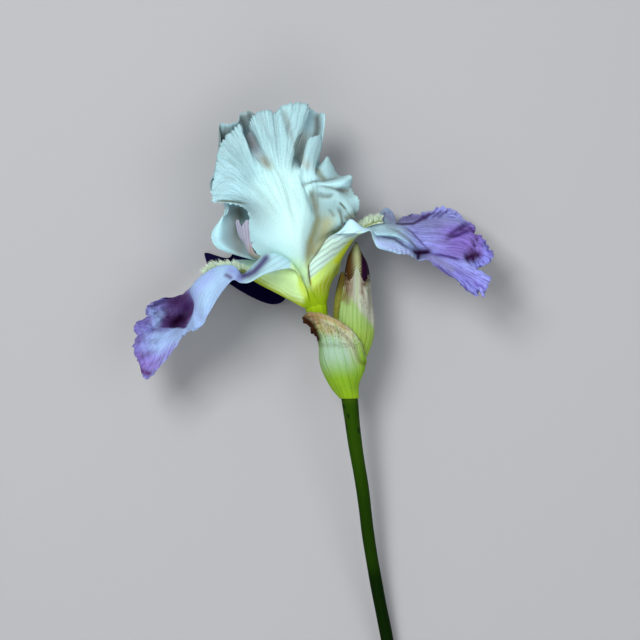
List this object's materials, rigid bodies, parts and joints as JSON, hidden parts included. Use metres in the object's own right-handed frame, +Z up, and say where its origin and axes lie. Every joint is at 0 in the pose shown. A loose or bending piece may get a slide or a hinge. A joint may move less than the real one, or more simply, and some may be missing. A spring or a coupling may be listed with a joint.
{
  "type": "bearded iris flower on a cut stem",
  "caption": "Bearded iris cut with its stem: white upright petals, violet ruffled drooping petals with pale beards, green stem and papery-topped bracts round a bud.",
  "frame": {"origin": "Centre of the part's box in X and Y, on the surface that the cut flower lies on.", "axes": "The stem runs along -Y and the bloom lies towards +Y; +Z is up, away from the surface, and +X is the side of the fall with the folded blade."},
  "size_m": [0.1659, 0.2783, 0.0642],
  "materials": {
    "standard": "thin white petal with a faint cool tint, soft satin",
    "fall": "petal from pale lavender to deep violet, soft satin with fine veins",
    "fall_shade": "dark blue-violet petal, soft satin",
    "style": "pale lilac-grey crest, satin",
    "beard": "pale yellow-white hairs",
    "stamen": "cream, matt",
    "bract": "green with parallel veins, brown and papery at the top",
    "stem": "smooth green with a slight bloom, satin",
    "tube": "yellow-green, satin",
    "bud": "rolled petals, pale ribs and dark violet edges, satin"
  },
  "bodies": {
    "root": {"standard_front": "standard", "standard_back_left": "standard", "standard_back_right": "standard", "fall_left": "fall", "fall_right": "fall", "fall_back": "fall_shade", "style_arm_left": "style", "style_arm_right": "style", "style_arm_back": "style", "beard_left": "beard", "beard_right": "beard", "beard_back": "beard", "stamen_left": "stamen", "stamen_right": "stamen", "stamen_back": "stamen", "outer_bract": "bract", "bud_bract_front": "bract", "bud_bract_back": "bract", "stem": "stem", "perianth_tube": "tube", "bud": "bud"}
  },
  "joints": []
}
